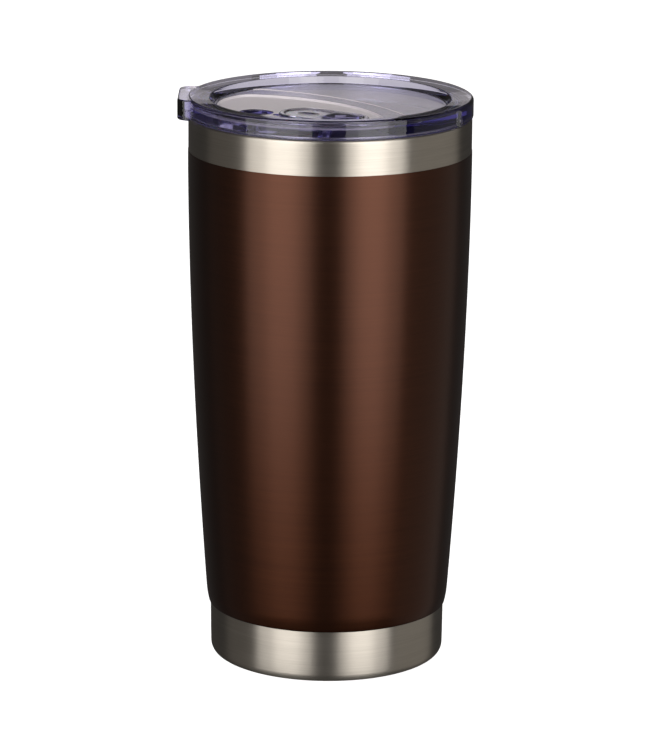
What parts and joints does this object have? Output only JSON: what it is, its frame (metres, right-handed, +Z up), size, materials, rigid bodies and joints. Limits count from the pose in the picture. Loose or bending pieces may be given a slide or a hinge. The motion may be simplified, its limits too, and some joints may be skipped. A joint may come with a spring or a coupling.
{
  "type": "insulated tumbler with lid",
  "caption": "Double-wall vacuum tumbler with a lacquered barrel body, bare steel bands, a clear press-in lid and a sliding drink closure.",
  "frame": {"origin": "centre of the foot, on the surface the tumbler stands on", "axes": "+Z up along the tumbler's axis, -X towards the lid's pull tab, -Y towards the viewer"},
  "size_m": [0.0894, 0.0866, 0.175],
  "materials": {
    "brushed_steel": "brushed round the body",
    "lacquer": "brown metallic lacquer over brushed steel",
    "liner_steel": "satin",
    "foil": "bright",
    "solder": "dark glass solder",
    "getter": "sintered metal",
    "clear_plastic": "clear, with a faint violet tint at the edges",
    "silicone": "translucent white silicone"
  },
  "bodies": {
    "cup": {"outer_shell": "brushed_steel", "lacquer_coat": "lacquer", "inner_liner": "liner_steel", "foil_shield": "foil", "vacuum_bottom": "liner_steel", "evacuation_seal": "solder", "getter_holder": "liner_steel", "getter_pellet": "getter", "base_cup": "brushed_steel"},
    "lid": {"lid_body": "clear_plastic", "lid_gasket": "silicone"},
    "slider": {"slider": "clear_plastic", "slider_seal": "silicone", "slider_clip": "clear_plastic"}
  },
  "joints": [
    {"name": "lid_lift", "type": "slide", "parent": "cup", "child": "lid", "axis": [0, 0, 1], "range_m": [0, 0.04]},
    {"name": "drink_slide", "type": "slide", "parent": "lid", "child": "slider", "axis": [-0.829, 0.5592, 0], "range_m": [0, 0.0165]}
  ]
}
